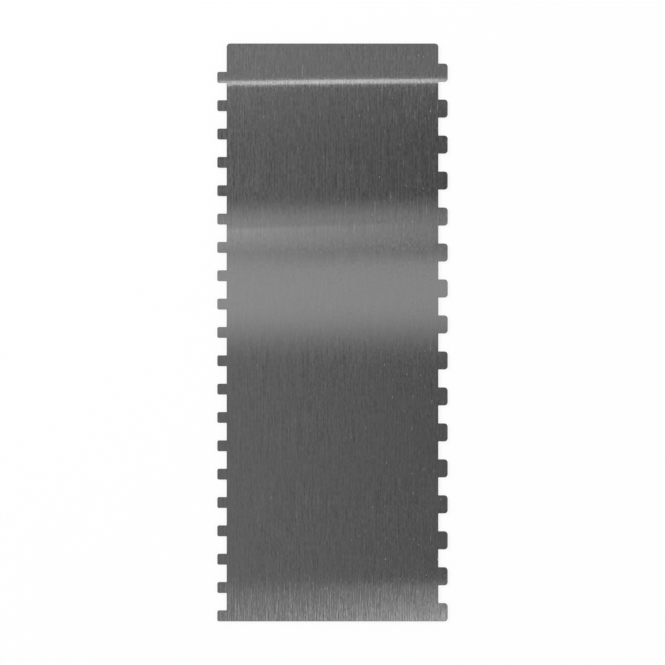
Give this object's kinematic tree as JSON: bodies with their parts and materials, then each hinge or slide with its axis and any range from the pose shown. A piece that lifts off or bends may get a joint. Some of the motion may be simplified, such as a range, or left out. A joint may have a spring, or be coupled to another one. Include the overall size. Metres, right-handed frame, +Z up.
{
  "type": "cake comb",
  "caption": "Flat one-piece steel comb with fine square teeth along one long edge and coarse ones along the other, for combing stripes into cake icing.",
  "frame": {"origin": "centre of the underside, at the middle of the length and of the width over the teeth", "axes": "+Y along the length from the lower end, where the lowest teeth are flush, to the plain upper end; +X across the sheet towards the coarse teeth; +Z up through the thickness"},
  "size_m": [0.1016, 0.2548, 0.001],
  "materials": {
    "brushed_steel": "satin, brushed along its length, with fine grain, a few small scratches and darker cut edges with the burr taken off"
  },
  "bodies": {
    "root": {"comb_plate": "brushed_steel"}
  },
  "joints": []
}
